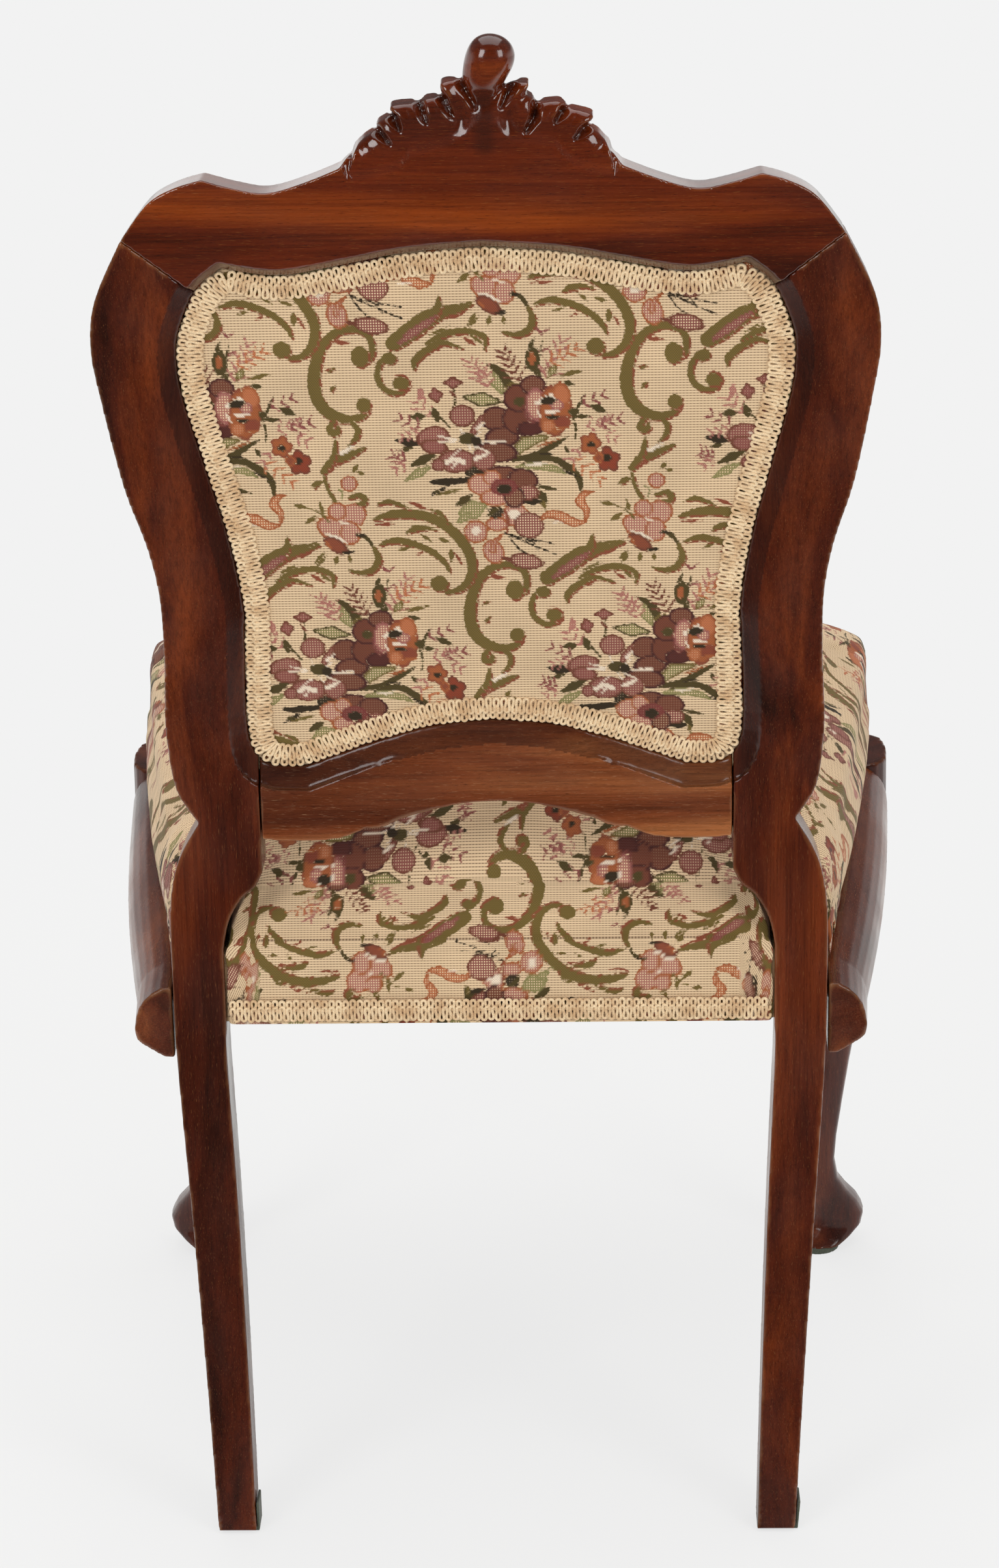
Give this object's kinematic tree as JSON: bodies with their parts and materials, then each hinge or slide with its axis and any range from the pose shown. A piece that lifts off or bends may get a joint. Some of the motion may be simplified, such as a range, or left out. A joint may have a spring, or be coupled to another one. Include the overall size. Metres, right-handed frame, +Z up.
{
  "type": "balloon back chair",
  "caption": "Upholstered side chair with a shaped, carved and padded back, sabre rear legs, cabriole front legs and a sprung, stuffed seat.",
  "frame": {"origin": "on the floor, under the middle of the chair's width and depth", "axes": "+Z up, the chair faces -Y, +X is the sitter's left"},
  "size_m": [0.5588, 0.5467, 0.9899],
  "materials": {
    "walnut": "French polished walnut, red-brown, worn at the edges",
    "beech": "bare planed beech",
    "steel": "dull drawn steel wire and cut steel pins",
    "jute": "plain woven jute",
    "tapestry": "woven floral tapestry on a cream ground",
    "braid": "tan woven braid with looped edges",
    "felt": "dark pressed felt",
    "lining": "black woven lining"
  },
  "bodies": {
    "root": {"left_stile": "walnut", "right_stile": "walnut", "crest_rail": "walnut", "lower_back_rail": "walnut", "left_rail_facing": "walnut", "right_rail_facing": "walnut", "front_rail_facing": "walnut", "left_front_leg": "walnut", "right_front_leg": "walnut", "crest_dowels": "beech", "rear_seat_rail": "beech", "left_seat_rail": "beech", "right_seat_rail": "beech", "front_seat_rail": "beech", "front_corner_blocks": "beech", "rear_corner_blocks": "beech", "rail_dowels": "beech", "block_screws": "steel", "facing_pins": "steel", "seat_springs": "steel", "seat_webbing_long": "jute", "seat_webbing_cross": "jute", "seat_base_cloth": "jute", "back_base_cloth": "jute", "seat_cushion": "tapestry", "back_pad": "tapestry", "back_cover": "tapestry", "seat_braid": "braid", "back_braid": "braid", "front_back_braid": "braid", "front_felt_discs": "felt", "rear_felt_pads": "felt", "dust_cover": "lining"}
  },
  "joints": []
}
